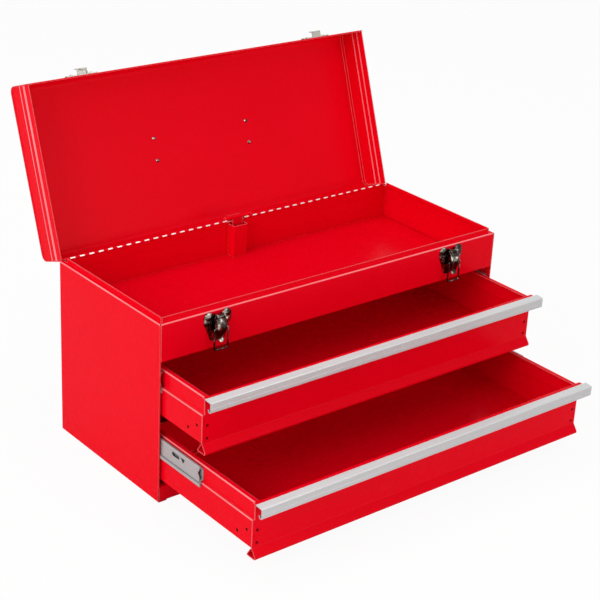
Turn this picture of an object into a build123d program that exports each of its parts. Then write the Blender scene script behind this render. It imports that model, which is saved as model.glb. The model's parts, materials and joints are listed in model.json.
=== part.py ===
from build123d import *
import os
from math import radians, tan

# Portable steel tool box: a case with a lidded tray on top and two drawers below it, in millimetres.
# The origin is the centre of the case's underside. X runs along the front, +Y to the back, +Z up.
# The pieces are built with the lid shut and the drawers in, and are then placed as they rest:
# lid thrown back on its stop, drawers drawn out like stairs, latch bails hanging.

# ---- sheet metal ----
sheet = 0.9             # painted sheet of the case, lid and drawers
fold = 1.0              # inner radius of a fold
lap_gap = 0.1           # between two sheets that lie on each other
strip = 0.8             # plated strip of the slides

# ---- case ----
case_width = 520.0
case_depth = 214.0
case_height = 228.0     # underside to the shoulder that the lid lands on
rim_inset = 5.4         # shoulder, between the wall and the raised rim
rim_rise = 5.4
rim_end_gap = 8.0       # rim of a side wall stops this far from the back
apron_height = 47.5     # front face above the drawers
apron_return = 10.0     # fold under the apron, which carries the tray floor
base_rail_height = 20.0
base_rail_return = 8.0
foot_flange = 12.0      # flanges that the case stands on
hem = 6.0               # doubled edge at the drawer opening
hem_end_gap = 3.0       # hem stops short of the shoulder's fold
mitre_gap = 0.7
edge_break = 0.6        # along the side wall's front edge
back_flange = 8.0

# ---- lid ----
lid_height = 45.0       # above the shoulder, lid shut
lid_edge_radius = 9.0   # outer radius along its front and rear edges
lid_seat_gap = 0.6      # between the shoulder and the lid's rim
lid_open = 109.4        # degrees from shut to the stop
lid_end_recess = 1.2    # end panel behind the cut edge of the shell
lid_end_flange = 5.0
lid_band = (10.0, 22.0) # raised band on each end panel, heights above the rim
lid_hem = 6.0

# ---- hinge ----
hinge_inset = 1.2       # pin axis in front of the back face
hinge_rise = 0.9        # pin axis above the shoulder
knuckle_radius = 1.55
knuckle_bore_radius = 0.95
hinge_pin_radius = 0.88
leaf_thickness = 0.8
knuckle_gap = 0.2
knuckles_per_run = 36
hinge_end_gap = 0.4     # between a run's end and the rim of the side wall
hinge_centre_gap = 28.0 # between the two hinge runs, for the lock bar
leaf_height = 14.0      # from the pin axis to the leaf's free edge
stop_gap = 0.12         # between lid skirt and back wall when the lid is open

# ---- tray in the top of the case ----
tray_flange = 10.0
tray_side_gap = 1.9     # between the floor and the outside of the case

# ---- lock bar, pushed down by the shutting lid ----
lock_travel = 6.9
lock_head_radius = 2.3
lock_head_length = 41.0
lock_head_clear = 0.4   # between the head and the hinge knuckles
lock_head_rest = 6.0    # above the pin axis, lid open
lock_press_gap = 0.2    # between head and striker, lid shut
lock_bar_width = 15.0
lock_bar_thickness = 1.6
lock_cover_width = 22.0
lock_cover_depth = 13.0
lock_hook_drop = 8.0    # tip of a hook below its finger
lock_hook_clear = 1.5   # between a raised hook and the drawer's back
lock_hook_reach = 4.5   # finger beyond the drawer's back
lock_bar_foot = 40.0    # lower end of the bar above the underside
guide_height = 8.0
spring_turns = 8
spring_radius = 3.4     # of its coil, to the middle of the wire
spring_wire_radius = 0.6
spring_seat_gap = 0.3   # between the coil's ends and what it presses on
striker_width = 20.0
striker_height = 12.0   # of its leg on the lid's rear wall

# ---- slides ----
slide_side_gap = 0.2
slide_play = 0.2        # above and below each sliding strip
channel_depth = 5.1     # how far its top flange stands in from the case wall
channel_front = 0.5     # behind the hem
channel_back_gap = 1.5  # in front of the back wall's flange
rail_below_ledge = 5.3  # lower edge of the rail under the drawer's ledge
rail_above_ledge = 19.2
rail_inset = 2.4        # rail's face inside the channel's web
rail_bead = 4.4         # height of the fold along its lower edge
rail_back_gap = 23.0    # behind its rear end in the channel, drawer shut
rail_front = 1.5        # front end behind the case front, drawer shut
rail_lip_rise = 1.7     # top of its inner lip above the drawer's ledge
rail_slot = (15.0, 5.2)
rail_slot_front = 49.0  # slot centre behind the rail's front end
rail_slot_rise = 12.0   # above the drawer's ledge
rail_lance = (9.0, 6.0) # length and height of the pointed opening in front of the slot
rail_nose = 6.0
runner_back_gap = 9.0   # in front of the drawer's back
runner_front = 95.0     # behind the drawer's front wall
runner_height = 16.0
rail_travel = 100.0     # first stage
drawer_travel = 86.0    # second stage

# ---- drawers ----
drawer_floor = 28.0     # underside of the lower drawer
drawer_gap = 11.8       # from the lower drawer's pull up to the upper drawer's bead
apron_gap = 7.8         # from the upper drawer's pull up to the apron
drawer_side_gap = 4.7   # between the wide part of a drawer and the case side
drawer_step = 3.0       # how far the upper band of a side is set in
drawer_rim = 21.0       # top of the side above the ledge
drawer_rim_width = 6.3
drawer_back_room = 14.5 # behind the drawer's back, for the lock bar
drawer_front_gap = 9.5  # front wall in front of the case front, drawer shut
drawer_back_height = 17.0   # above the ledge
drawer_back_flange = 8.0
front_top = 22.5        # top of the front above the ledge
front_overhang = 17.0   # top flange in front of the wall
front_downturn = 8.0
bead_height = 11.5      # triangular bead under the front wall
bead_nose = 6.3
bead_heel = 8.6
bead_fold = 3.0
screw_hole_radius = 1.5
front_hole_inset = 6.8
front_hole_heights = (6.0, 22.0)
side_holes = ((10.0, 20.0), (26.5, 10.5))   # behind the front wall, above the underside
pull_reach = 18.9       # front face of the pull in front of the wall
pull_overlap = 10.8     # depth of its top
pull_thickness = 1.1
pull_height = 12.6
pull_hook = 5.5         # lower edge turned back
pull_side_overlap = 2.7 # beyond the wide part of the drawer
pull_slope = 1.0
top_drawer_open = 67.5
bottom_drawer_open = 163.5
top_rail_open = 2.0
bottom_rail_open = 80.0

# ---- latches ----
latch_inset = 78.1      # latch centre from the end of the case
latch_plate = 1.2
ear_spacing = 25.0
ear_radius = 6.4
ear_drop = 13.2         # its rivet under the shoulder
ear_rise = 5.6          # centre of an ear's rounded top above its rivet
shield_width = (29.0, 19.0)
shield_drop = 38.0
lever_pivot_out = 5.0   # in front of the case front
lever_pivot_drop = 7.0  # under the shoulder
bail_pivot_out = 8.6
bail_pivot_drop = 20.0
latch_pin_radius = 1.4
pin_clearance = 0.08
cheek_half = 5.4        # outer face of the base's cheeks
lever_half = 7.1        # outer face of the lever's arms
lever_low_half = 4.8    # half its width where the tongue starts
lever_front_out = 11.2
lever_drop = 31.0
tongue_drop = 36.0
tongue_lift = 2.0       # of its tip in front of the lever
tongue_width = 8.0
bail_wire_radius = 1.1
bail_eye = 3.5          # lever around the bail's pivot
bail_half = 9.4         # centre line of its legs
bail_length = 26.0
bail_bend = 2.4
lever_flip = 130.0
keeper_seat = 4.1       # above the shoulder, where the bail rests
keeper_reach = 8.6
keeper_lip = 5.0
keeper_half = 7.0
keeper_foot = 21.0      # half the length over both feet
keeper_foot_height = 9.0
rivet_radius = 2.5
rivet_rise = 1.4

# ---- carrying handle on the lid ----
handle_clip_spacing = 146.0
clip_rivet_spacing = 28.5
clip_width = 12.0
clip_length = 40.0
clip_rise = 5.4         # pivot above the lid
handle_rod_radius = 3.0
handle_drop = 36.0
handle_bend = 9.0
grip_radius = 6.0
grip_length = 96.0

# ---- places that follow from the sizes above ----
front = -case_depth / 2
back = case_depth / 2
half_width = case_width / 2
inner_half = half_width - sheet
rim_top = case_height + rim_rise
apron_bottom = case_height - apron_height
tray_floor_top = apron_bottom + 2 * sheet + lap_gap
hinge_y = back - hinge_inset
hinge_z = case_height + hinge_rise
edge_from_axis = hinge_inset * tan(radians(lid_open / 2)) + stop_gap
hinge_start = hinge_centre_gap / 2
hinge_end = half_width - rim_inset - sheet - hinge_end_gap
knuckle_pitch = (hinge_end - hinge_start) / knuckles_per_run
lid_bottom = case_height + lid_seat_gap
lid_top = case_height + lid_height
hinge_axis = Axis((0, hinge_y, hinge_z), (1, 0, 0))
lock_head_y = hinge_y - knuckle_radius - lock_head_clear - lock_head_radius
lock_bar_front = lock_head_y - lock_bar_thickness / 2
striker_under = lock_head_rest - lock_travel + lock_head_radius + lock_press_gap
channel_web = inner_half - strip
drawer_half = inner_half + sheet - drawer_side_gap
band_half = drawer_half - drawer_step
rail_face = channel_web - rail_inset
drawer_front_y = front - drawer_front_gap
drawer_back_y = back - drawer_back_room
channel_start = front + hem + channel_front
channel_end = back - back_flange - channel_back_gap
rail_start = front + rail_front
rail_end = channel_end - rail_back_gap
pull_top = front_top + lap_gap + pull_thickness + pull_slope
drawer_pitch = (apron_bottom - apron_gap + drawer_gap + bead_height - drawer_floor) / 2
drawer_ledge = drawer_pitch - drawer_gap - bead_height - pull_top   # step in its side above its underside
ledges = {
    "bottom": drawer_floor + drawer_ledge,
    "top": drawer_floor + drawer_ledge + drawer_pitch,
}
rail_open = {"bottom": bottom_rail_open, "top": top_rail_open}
drawer_open = {"bottom": bottom_drawer_open, "top": top_drawer_open}
latch_from_centre = half_width - latch_inset
ear_z = case_height - ear_drop
lever_pivot = (front - lever_pivot_out, case_height - lever_pivot_drop)
bail_pivot = (front - bail_pivot_out, case_height - bail_pivot_drop)
handle_pivot_z = lid_top + clip_rise
SIDES = {"left": -1, "right": 1}


# ---- helpers ----
def block(x, y, z):
    """Box between a low and a high limit along each axis."""
    size = [high - low for low, high in (x, y, z)]
    centre = [(high + low) / 2 for low, high in (x, y, z)]
    return Pos(*centre) * Box(*size)


def rod(radius, start, end):
    """Round bar between two points."""
    path = Line(start, end)
    return extrude(Plane(path @ 0, z_dir=path % 0) * Circle(radius), amount=path.length)


def left_of(direction):
    """Unit vector on the left of a direction in the plane of a section."""
    return Vector(-direction.Y, direction.X)


def rounded_path(points, radii):
    """Edges along the points, with an arc at each inner point."""
    edges = []
    start = points[0]
    for index, radius in enumerate(radii, 1):
        coming = (points[index] - points[index - 1]).normalized()
        going = (points[index + 1] - points[index]).normalized()
        reach = radius * tan(radians(coming.get_angle(going)) / 2)
        arc_start = points[index] - coming * reach
        arc_end = points[index] + going * reach
        edges.append(Line(start, arc_start).edge())
        edges.append(TangentArc(arc_start, arc_end, tangent=coming).edge())
        start = arc_end
    edges.append(Line(start, points[-1]).edge())
    return edges


def folded(points, thickness=sheet, bends=fold):
    """Section of a folded sheet. The points run along one face of it, the metal lies on their
    left, and bends is the inner radius of every fold, or a list with one for each."""
    points = [Vector(*point) for point in points]
    legs = [(b - a).normalized() for a, b in zip(points, points[1:])]
    if not isinstance(bends, (list, tuple)):
        bends = [bends] * (len(points) - 2)
    far_side = [points[0] + left_of(legs[0]) * thickness]
    near_radii = []
    far_radii = []
    for corner, coming, going, bend in zip(points[1:], legs, legs[1:], bends):
        across = left_of(coming) + left_of(going)
        far_side.append(corner + across * (thickness / (1 + coming.dot(going))))
        turns_left = coming.X * going.Y - coming.Y * going.X > 0
        near_radii.append(bend + thickness if turns_left else bend)
        far_radii.append(bend if turns_left else bend + thickness)
    far_side.append(points[-1] + left_of(legs[-1]) * thickness)
    edges = rounded_path(points, near_radii)
    edges.append(Line(points[-1], far_side[-1]).edge())
    edges += rounded_path(far_side, far_radii)
    edges.append(Line(far_side[0], points[0]).edge())
    return Face(Wire(edges))


def along_x(section, low, high):
    """Solid of a (y, z) section between two x."""
    return extrude(Plane.YZ.offset(low) * section, amount=high - low, dir=(1, 0, 0))


def along_y(section, low, high):
    """Solid of an (x, z) section between two y."""
    return extrude(Plane.XZ.offset(-low) * section, amount=high - low, dir=(0, 1, 0))


def along_z(section, low, high):
    """Solid of an (x, y) section between two z."""
    return extrude(Plane.XY.offset(low) * section, amount=high - low, dir=(0, 0, 1))


def polygon(points):
    """Flat face through the points."""
    return Face(Wire.make_polygon([Vector(*point) for point in points]))


def on_side(shape, side):
    """The shape as built on the right, or its mirror image on the left."""
    return shape if side == "right" else mirror(shape, Plane.YZ)


def tilted(shape):
    """A lid piece, turned back with the lid to its stop."""
    return shape.rotate(hinge_axis, -lid_open)


def mitre(owner):
    """Prism that trims a shoulder and rim along the 45 degree line through the right front corner."""
    reach = 2 * rim_inset
    if owner == "side":
        corner = half_width + mitre_gap
        outline = [(corner, front - 1), (corner, front), (corner - reach, front + reach), (corner - reach, front - 1)]
    else:
        corner = half_width - mitre_gap
        outline = [(corner, front), (corner - reach, front + reach), (half_width, front + reach), (half_width, front)]
    return along_z(polygon(outline), case_height - sheet - fold, rim_top + 1)


# ---- case ----
def side_panel(side):
    """Side wall with its foot flange, hemmed front edge, shoulder and rim."""
    wall = folded([
        (half_width - foot_flange, 0),
        (half_width, 0),
        (half_width, case_height),
        (half_width - rim_inset, case_height),
        (half_width - rim_inset, rim_top),
    ])
    panel = along_y(wall, front, back)
    panel += block(
        (inner_half - sheet, inner_half), (front, front + hem), (foot_flange, case_height - hem_end_gap)
    )
    edge = [(half_width - edge_break, front), (half_width, front), (half_width, front + edge_break)]
    panel -= along_z(polygon(edge), fold + sheet, case_height - fold - sheet)
    panel -= mitre("side")
    panel -= block(
        (half_width - rim_inset - sheet - 1, half_width - rim_inset + lap_gap),
        (back - rim_end_gap, back), (case_height, rim_top + 1),
    )
    return on_side(panel, side)


def back_panel():
    """Back wall with flanges round three sides. The hinge leaves stand above its top edge."""
    top = hinge_z - edge_from_axis
    wall = folded([(back, top), (back, 0), (back - foot_flange, 0)][::-1])
    panel = along_x(wall, -(half_width - foot_flange - lap_gap), half_width - foot_flange - lap_gap)
    fold_start = case_height - sheet - fold
    for inset, low, high in ((lap_gap, 2 * sheet + fold, fold_start), (fold + lap_gap, fold_start, top)):
        panel += block((-inner_half + inset, inner_half - inset), (back - sheet, back), (low, high))
    for sign in SIDES.values():
        edges = sorted([sign * (inner_half - lap_gap - sheet), sign * (inner_half - lap_gap)])
        panel += block(edges, (back - back_flange, back), (foot_flange, tray_floor_top - tray_flange - 2 * sheet))
    return panel


def base_pan():
    """Bottom sheet. Its edges step up over the foot flanges, and its front folds up into a rail."""
    inside = half_width - foot_flange - lap_gap
    outside = inner_half - fold
    rear = back - sheet - fold
    rear_step = back - foot_flange - lap_gap
    ahead = front + sheet + fold
    low = sheet + lap_gap
    raised = (low, low + sheet)
    pan = block((-inside, inside), (ahead, rear_step), (0, sheet))
    pan += block((-inside, inside), (rear_step - sheet, rear_step), (0, low + sheet))
    pan += block((-inside, inside), (rear_step - sheet, rear), raised)
    for side in SIDES:
        pan += on_side(block((inside - sheet, inside), (ahead, rear_step), (0, low + sheet)), side)
        pan += on_side(block((inside - sheet, outside), (ahead, rear), raised), side)
    rail = folded([
        (front + base_rail_return, base_rail_height),
        (front, base_rail_height),
        (front, low),
        (front + foot_flange, low),
    ])
    return pan + along_x(rail, -inner_half + sheet + lap_gap, inner_half - sheet - lap_gap)


def front_apron():
    """Front face above the drawers, with shoulder, rim and the fold under it."""
    section = folded([
        (front + rim_inset, rim_top),
        (front + rim_inset, case_height),
        (front, case_height),
        (front, apron_bottom),
        (front + apron_return, apron_bottom),
    ])
    half = inner_half - sheet - lap_gap
    apron = along_x(section, -half, half)
    for side in SIDES:
        apron -= on_side(mitre("apron"), side)
    return apron


def tray_floor():
    """Floor of the top tray, on the apron's fold, with a slot for the lock bar."""
    half = half_width - tray_side_gap
    section = folded([
        (half, tray_floor_top - tray_flange),
        (half, tray_floor_top),
        (-half, tray_floor_top),
        (-half, tray_floor_top - tray_flange),
    ])
    rear = back - sheet - lap_gap
    start = front + apron_return + lap_gap
    floor = along_y(section, start, rear)
    floor += block(
        (-half + hem, half - hem), (front + sheet + fold, start + sheet), (tray_floor_top - sheet, tray_floor_top)
    )
    slot = lock_cover_width / 2 - sheet - lap_gap
    floor -= block((-slot, slot), (rear - lock_cover_depth + 2 * sheet, rear), (tray_floor_top - 2, tray_floor_top + 1))
    return floor


def lock_bar_cover():
    """Channel on the back wall that hides the lock bar in the tray."""
    half = lock_cover_width / 2
    wall = back - sheet - lap_gap
    section = folded([
        (half, wall),
        (half, wall - lock_cover_depth),
        (-half, wall - lock_cover_depth),
        (-half, wall),
    ][::-1])
    top = hinge_z + lock_head_rest - lock_travel - lock_head_radius - lock_head_clear
    return along_z(section, tray_floor_top + lap_gap, top)


def lock_bar_guides():
    """Two brackets on the back wall, under the tray, with a slot that the lock bar slides in."""
    inside = lock_bar_width / 2 + slide_side_gap
    wall = back - sheet - lap_gap
    ahead = lock_bar_front - slide_side_gap
    behind = lock_bar_front + lock_bar_thickness + slide_side_gap
    strap = folded([
        (inside + hem, wall), (inside, wall), (inside, ahead),
        (-inside, ahead), (-inside, wall), (-inside - hem, wall),
    ], bends=0.3)
    heights = [lock_bar_foot + guide_height, ledges["bottom"] + drawer_rim + 2 * guide_height]
    guides = []
    for low in heights:
        limits = (low, low + guide_height)
        rear_bar = block((-inside - sheet / 2, inside + sheet / 2), (behind, behind + sheet), limits)
        guides.append(along_z(strap, *limits) + rear_bar)
    return Compound(children=guides)


# ---- hinge ----
def hinge_leaf(owner, side):
    """Half of one piano hinge run: a leaf with every second knuckle. The case leaf hangs down
    from the pin inside the back wall, the lid leaf stands up inside the lid's rear wall."""
    sense = -1 if owner == "case" else 1
    leaf = block(
        (hinge_start, hinge_end), (back - sheet - leaf_thickness, back - sheet),
        sorted([hinge_z, hinge_z + sense * leaf_height]),
    )
    barrel = rod(knuckle_radius, (hinge_start, hinge_y, hinge_z), (hinge_end, hinge_y, hinge_z))
    bore = rod(knuckle_bore_radius, (hinge_start - 1, hinge_y, hinge_z), (hinge_end + 1, hinge_y, hinge_z))
    leaf = leaf + barrel - bore
    first = 1 if owner == "case" else 0
    notches = []
    for index in range(first, knuckles_per_run + 1, 2):
        low = hinge_start + index * knuckle_pitch - knuckle_gap / 2
        height = sorted([hinge_z - sense * (knuckle_radius + 1), hinge_z + sense * edge_from_axis])
        notches.append(block(
            (low, low + knuckle_pitch + knuckle_gap), (hinge_y - knuckle_radius - 1, back + knuckle_radius), height
        ))
    leaf = leaf - notches
    leaf = on_side(leaf, side)
    return tilted(leaf) if owner == "lid" else leaf


def hinge_pin(side):
    """Pin of one hinge run."""
    return on_side(rod(hinge_pin_radius, (hinge_start, hinge_y, hinge_z), (hinge_end, hinge_y, hinge_z)), side)


# ---- slides ----
def slide_channel(level, side):
    """Fixed channel on the case side, open towards the drawer."""
    ledge = ledges[level]
    low = ledge - rail_below_ledge - slide_play - strip
    high = ledge + rail_above_ledge + slide_play + strip
    section = folded([
        (rail_face, low),
        (inner_half, low),
        (inner_half, high),
        (inner_half - channel_depth, high),
    ], strip, 0.2)
    return on_side(along_y(section, channel_start, channel_end), side)


def slide_rail(level, side):
    """Middle rail: web with a top flange and an outward bead, and a lip that the runner rides on."""
    ledge = ledges[level]
    low = ledge - rail_below_ledge
    high = ledge + rail_above_ledge
    outer = rail_face + strip
    bead_edge = channel_web - slide_side_gap
    start = rail_start
    web = along_y(folded([
        (inner_half - channel_depth, high - strip),
        (rail_face, high - strip),
        (rail_face, low),
        (bead_edge, low),
        (bead_edge, low + rail_bead),
    ], strip, [0.2, 0.2, 0.2]), start, rail_end)
    lip = block(
        (inner_half - channel_depth, rail_face + strip / 2), (start + rail_nose, rail_end),
        (ledge + rail_lip_rise - strip, ledge + rail_lip_rise),
    )
    rail = web + lip
    slot_y = start + rail_slot_front
    slot_z = ledge + rail_slot_rise
    length, width = rail_slot
    slot = Pos(rail_face, slot_y, slot_z) * (Rot(0, 90, 0) * Rot(0, 0, 90) * extrude(
        SlotOverall(length, width), amount=2 * strip, both=True))
    lance_length, lance_height = rail_lance
    lance_y = slot_y - length / 2 - 2 * strip
    lance_z = slot_z + lance_height * 0.4
    lance = along_x(polygon([
        (lance_y, lance_z), (lance_y - lance_length, lance_z), (lance_y - 0.6 * lance_length, lance_z - lance_height)
    ]), rail_face - strip, outer + strip)
    nose = along_x(polygon([
        (start - 1, high + 1),
        (start + rail_nose / 2, high + 1),
        (start + rail_nose / 2, high - 3),
        (start + rail_nose, high - rail_nose - 3),
        (start + rail_nose / 2, ledge + rail_nose),
        (start + rail_nose / 2, ledge + 1),
        (start - 1, ledge + 1),
    ]), rail_face - channel_depth, outer + lap_gap)
    rail = rail - [slot, lance, nose]
    return Pos(0, -rail_open[level], 0) * on_side(rail, side)


def drawer_runner(level, side):
    """Runner fixed to the upper band of a drawer side. It rides on the rail's lip."""
    low = ledges[level] + rail_lip_rise + slide_play
    high = low + runner_height - slide_play
    edge = rail_face - slide_side_gap
    section = folded([
        (edge, high),
        (band_half, high),
        (band_half, low),
        (edge, low),
    ], strip, 0.2)
    runner = along_y(section, drawer_front_y + runner_front, drawer_back_y - runner_back_gap)
    return Pos(0, -drawer_open[level], 0) * on_side(runner, side)


# ---- drawers, built shut ----
def drawer_tray(level):
    """Floor and stepped sides of a drawer, one folded sheet."""
    ledge = ledges[level]
    floor = ledge - drawer_ledge
    right = [
        (drawer_half, floor),
        (drawer_half, ledge),
        (band_half, ledge),
        (band_half, ledge + drawer_rim),
        (band_half - drawer_rim_width, ledge + drawer_rim),
    ]
    left = [(-x, z) for x, z in reversed(right)]
    radius = 0.4
    section = folded(left + right, sheet, [radius, radius, radius, fold, fold, radius, radius, radius])
    tray = along_y(section, drawer_front_y + sheet + lap_gap, drawer_back_y)
    holes = []
    for behind, height in side_holes:
        place = (drawer_front_y + behind, floor + height)
        holes += [rod(screw_hole_radius, (sign * (drawer_half + 1), *place), (sign * (drawer_half - 2), *place))
                  for sign in SIDES.values()]
    return tray - holes


def drawer_back(level):
    """Back of a drawer, flanged on three sides inside the tray."""
    ledge = ledges[level]
    floor = ledge - drawer_ledge + sheet + lap_gap
    top = ledge + drawer_back_height
    half = band_half - sheet - lap_gap
    rear = drawer_back_y
    panel = block((-half, half), (rear - sheet, rear), (floor, top))
    panel += block((-half + fold, half - fold), (rear - drawer_back_flange, rear), (floor, floor + sheet))
    for sign in SIDES.values():
        panel += block(sorted([sign * (half - sheet), sign * half]), (rear - drawer_back_flange, rear), (floor, top))
    return panel


def drawer_front(level):
    """Front of a drawer: wall, forward top flange with its downturned edge, and the hollow bead."""
    ledge = ledges[level]
    floor = ledge - drawer_ledge
    top = ledge + front_top
    wall = drawer_front_y
    reach = wall - front_overhang
    upper = folded([
        (reach, top - front_downturn),
        (reach, top),
        (wall + sheet, top),
        (wall + sheet, floor),
        (wall - bead_nose + sheet, floor - bead_height + bead_fold),
        (wall - bead_nose + sheet, floor - bead_height + sheet),
        (wall + bead_heel - sheet, floor - bead_height + sheet),
        (wall + sheet + 1, floor - 1.5),
    ][::-1], sheet, [0.4, 0.4, 0.6, 0.4, fold, fold])
    panel = along_x(upper, -drawer_half, drawer_half)
    for sign in SIDES.values():
        notch = sorted([sign * band_half, sign * (drawer_half + 1)])
        panel -= block(notch, (wall - lap_gap, wall + sheet + lap_gap), (ledge, top - sheet - fold))
    holes = []
    for height in front_hole_heights:
        for sign in SIDES.values():
            x = sign * (drawer_half - front_hole_inset)
            holes.append(rod(screw_hole_radius, (x, wall - 1, floor + height), (x, wall + 2, floor + height)))
    return panel - holes


def drawer_pull(level):
    """Extruded pull over the front's top flange, its lower edge hooked back under the downturn."""
    ledge = ledges[level]
    top = ledge + pull_top
    wall = drawer_front_y
    face = wall - pull_reach
    low = top - pull_slope - pull_height
    section = folded([
        (face + pull_hook, low + 3),
        (face + pull_hook * 0.75, low),
        (face, low),
        (face, top - pull_slope),
        (face + pull_overlap, top),
    ][::-1], pull_thickness, [0.3, 0.5, 0.5])
    half = drawer_half + pull_side_overlap
    return along_x(section, -half, half)


# ---- lid, built shut ----
def lid_shell():
    """Top, front and rear of the lid, one folded sheet."""
    section = folded([
        (back, hinge_z + edge_from_axis),
        (back, lid_top),
        (front, lid_top),
        (front, lid_bottom),
    ], sheet, lid_edge_radius - sheet)
    shell = along_x(section, -half_width, half_width)
    hem_end = half_width - lid_end_recess - lid_end_flange - lap_gap
    shell += block((-hem_end, hem_end), (front + sheet / 2, front + 2 * sheet), (lid_bottom, lid_bottom + lid_hem))
    return tilted(shell)


def lid_end(side):
    """End of the lid with a raised band, flanged inside the shell, notched clear of the hinge."""
    gap = sheet + lap_gap
    outer = half_width - lid_end_recess
    radius = lid_edge_radius - gap
    rear = back - gap
    profile = folded([
        (rear, lid_bottom),
        (rear, lid_top - gap),
        (front + gap, lid_top - gap),
        (front + gap, lid_bottom),
    ], sheet, radius - sheet)
    flange = along_x(profile, outer - lid_end_flange, outer)
    face = Wire(rounded_path([Vector(*p) for p in (
        (rear, lid_bottom), (rear, lid_top - gap), (front + gap, lid_top - gap), (front + gap, lid_bottom)
    )], [radius, radius]) + [Line((front + gap, lid_bottom), (rear, lid_bottom)).edge()])
    plate = along_x(Face(face), outer - sheet, outer)
    low, high = [lid_bottom + height for height in lid_band]
    band = along_x(polygon([(front + gap, low), (rear, low), (rear, high), (front + gap, high)]), outer - sheet / 2, half_width)
    band = chamfer(band.edges().filter_by(Axis.Y).group_by(Axis.X)[-1], lid_end_recess * 0.8)
    end = flange + plate + band
    notch = block(
        (outer - lid_end_flange - 1, half_width + 1), (hinge_y - 0.5, back + 1), (lid_bottom - 1, hinge_z + edge_from_axis)
    )
    return tilted(on_side(end - notch, side))


def lock_bar_striker():
    """Bracket on the lid's rear wall that pushes the lock bar's head down."""
    wall = back - sheet - lap_gap
    under = hinge_z + striker_under
    section = folded([
        (wall, hinge_z + edge_from_axis + striker_height),
        (wall, under),
        (lock_head_y - lock_head_radius, under),
    ][::-1], sheet, 0.6)
    return tilted(along_x(section, -striker_width / 2, striker_width / 2))


def keeper(side):
    """Strike on the lid's front: two feet, and a hook that the latch bail pulls on."""
    centre = latch_from_centre
    seat = case_height + keeper_seat
    plate = latch_plate
    low = seat - plate
    feet = block(
        (centre - keeper_foot, centre + keeper_foot), (front - plate, front), (low, low + keeper_foot_height)
    )
    feet = fillet(feet.edges().filter_by(Axis.Y), 2.0)
    section = folded([
        (front, low),
        (front - keeper_reach, low),
        (front - keeper_reach, seat + keeper_lip),
    ][::-1], plate, 0.8)
    hook = along_x(section, centre - keeper_half, centre + keeper_half)
    return tilted(on_side(feet + hook, side))


def dome(centre, direction, radius=rivet_radius, rise=rivet_rise):
    """Domed rivet head that stands on a surface at centre, facing along direction."""
    ball_radius = (radius ** 2 + rise ** 2) / (2 * rise)
    ball = Pos(0, 0, rise - ball_radius) * Sphere(ball_radius)
    head = ball & Pos(0, 0, rise / 2) * Cylinder(radius + 1, rise)
    return Plane(centre, z_dir=direction) * head


def keeper_rivets():
    """Rivet heads on the keepers' feet."""
    z = case_height + keeper_seat - latch_plate + keeper_foot_height / 2
    offset = (keeper_foot + keeper_half) / 2
    heads = [
        tilted(dome((sign * latch_from_centre + shift, front - latch_plate, z), (0, -1, 0)))
        for sign in SIDES.values() for shift in (-offset, offset)
    ]
    return Compound(children=heads)


# ---- handle on the lid, built shut ----
def handle_clip(side):
    """Strap riveted to the lid, with a raised loop that holds one end of the handle."""
    centre = handle_clip_spacing / 2
    bore = handle_rod_radius + pin_clearance
    bump = bore + latch_plate
    foot = block((centre - clip_width / 2, centre + clip_width / 2), (-clip_length / 2, clip_length / 2), (lid_top, lid_top + latch_plate))
    foot = fillet(foot.edges().filter_by(Axis.Z), clip_width / 2 - 0.5)
    low = (centre - clip_width / 2, 0, handle_pivot_z)
    high = (centre + clip_width / 2, 0, handle_pivot_z)
    post = block((low[0], high[0]), (-bump, bump), (lid_top, handle_pivot_z))
    clip = foot + post + rod(bump, low, high)
    clip -= rod(bore, (low[0] - 1, 0, handle_pivot_z), (high[0] + 1, 0, handle_pivot_z))
    return tilted(on_side(clip, side))


def handle_rivets():
    """Rivets of the handle clips: heads on the clips and inside the lid."""
    heads = []
    for sign in SIDES.values():
        for shift in (-clip_rivet_spacing / 2, clip_rivet_spacing / 2):
            x = sign * handle_clip_spacing / 2
            heads.append(tilted(dome((x, shift, lid_top + latch_plate), (0, 0, 1))))
            heads.append(tilted(dome((x, shift, lid_top - sheet), (0, 0, -1))))
    return Compound(children=heads)


def hung(shape):
    """A handle piece, built standing straight up from the shut lid, turned to hang from it."""
    pivot = Axis((0, 0, handle_pivot_z), (1, 0, 0))
    return tilted(shape.rotate(pivot, -180 + lid_open))


def handle_bail():
    """Bent rod whose ends turn outward through the clips."""
    leg = handle_clip_spacing / 2 - clip_width / 2 - handle_rod_radius - 1.0
    tip = handle_clip_spacing / 2 + clip_width / 2 + 2.0
    top = handle_pivot_z + handle_drop
    points = [
        (-tip, 0, handle_pivot_z), (-leg, 0, handle_pivot_z), (-leg, 0, top),
        (leg, 0, top), (leg, 0, handle_pivot_z), (tip, 0, handle_pivot_z),
    ]
    small = handle_rod_radius + 0.4
    path = Wire(rounded_path([Vector(*p) for p in points], [small, handle_bend, handle_bend, small]))
    rod_face = Plane((-tip, 0, handle_pivot_z), z_dir=(1, 0, 0)) * Circle(handle_rod_radius)
    return hung(sweep(rod_face, path=path))


def handle_grip():
    """Tube over the middle of the handle."""
    top = handle_pivot_z + handle_drop
    ends = ((-grip_length / 2, 0, top), (grip_length / 2, 0, top))
    tube = rod(grip_radius, *ends)
    tube = fillet(tube.edges(), 1.5) - rod(handle_rod_radius + lap_gap, *ends)
    return hung(tube)


# ---- lock bar, built raised as it rests ----
def lock_bar():
    """Flat bar behind the drawers with a hook over the back of each."""
    half = lock_bar_width / 2
    rear = lock_bar_front + lock_bar_thickness
    top = hinge_z + lock_head_rest - lock_head_radius + 0.5
    bar = block((-half, half), (lock_bar_front, rear), (lock_bar_foot, top))
    tip = drawer_back_y - sheet - lock_hook_reach
    for ledge in ledges.values():
        finger = ledge + drawer_back_height + lock_hook_clear + lock_hook_drop
        bar += block((-half, half), (tip, rear), (finger - lock_bar_thickness, finger))
        bar += block((-half, half), (tip, tip + lock_bar_thickness), (finger - lock_hook_drop, finger))
    return bar


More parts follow.
